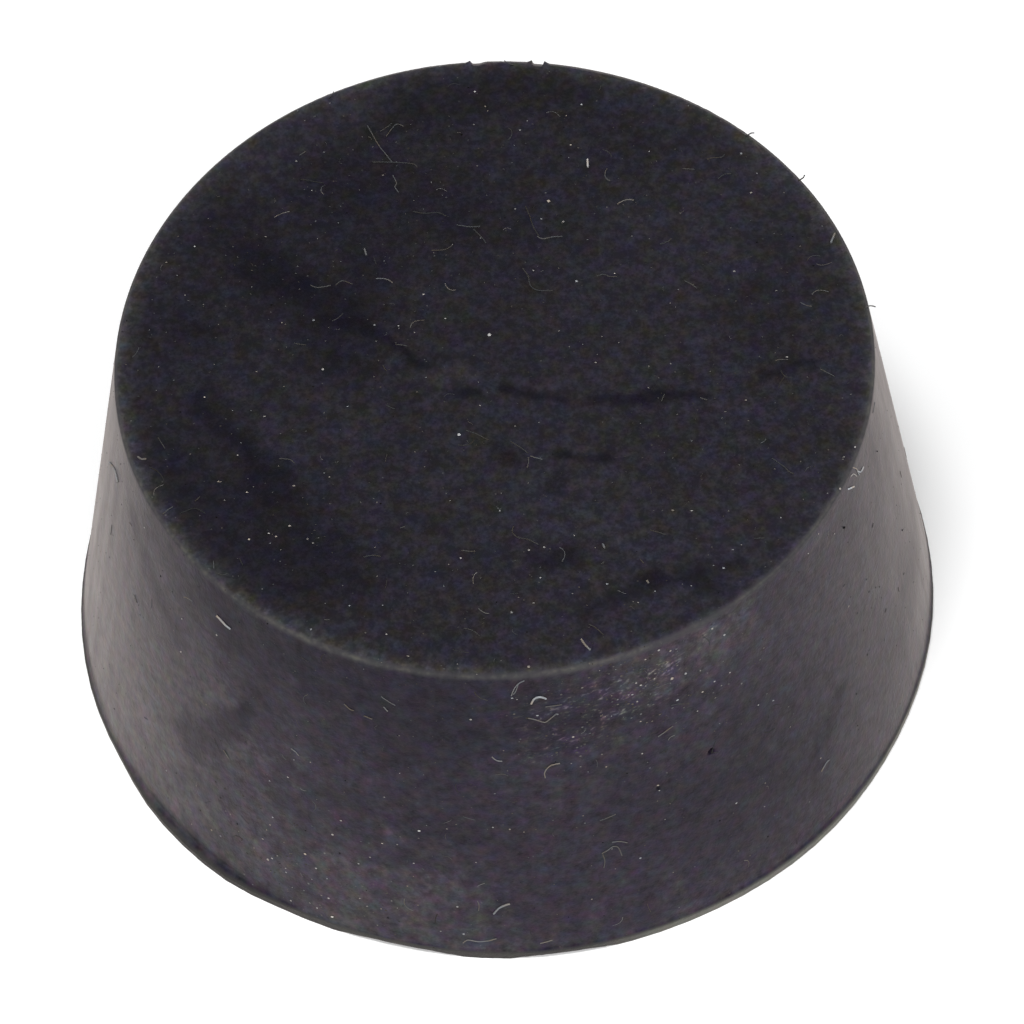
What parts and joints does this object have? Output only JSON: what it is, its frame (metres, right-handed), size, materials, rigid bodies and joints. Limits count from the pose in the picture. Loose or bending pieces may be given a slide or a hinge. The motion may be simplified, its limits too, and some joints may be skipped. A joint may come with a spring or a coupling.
{
  "type": "rubber stopper",
  "caption": "Solid tapered laboratory stopper of black rubber, moulded in one piece, with a thin trimmed flash lip round its wide end.",
  "frame": {"origin": "centre of the flat wide end, which is the face that it stands on", "axes": "+Z along the stopper's axis, from the wide end up to the narrow end; -Y faces the viewer, and the two nicks in the narrow rim are at +Y"},
  "size_m": [0.0531, 0.0531, 0.025],
  "materials": {
    "black_rubber": "used black moulded rubber: satin wall, matte end faces, worn rim, fine dust and lint"
  },
  "bodies": {
    "root": {"stopper": "black_rubber"}
  },
  "joints": []
}
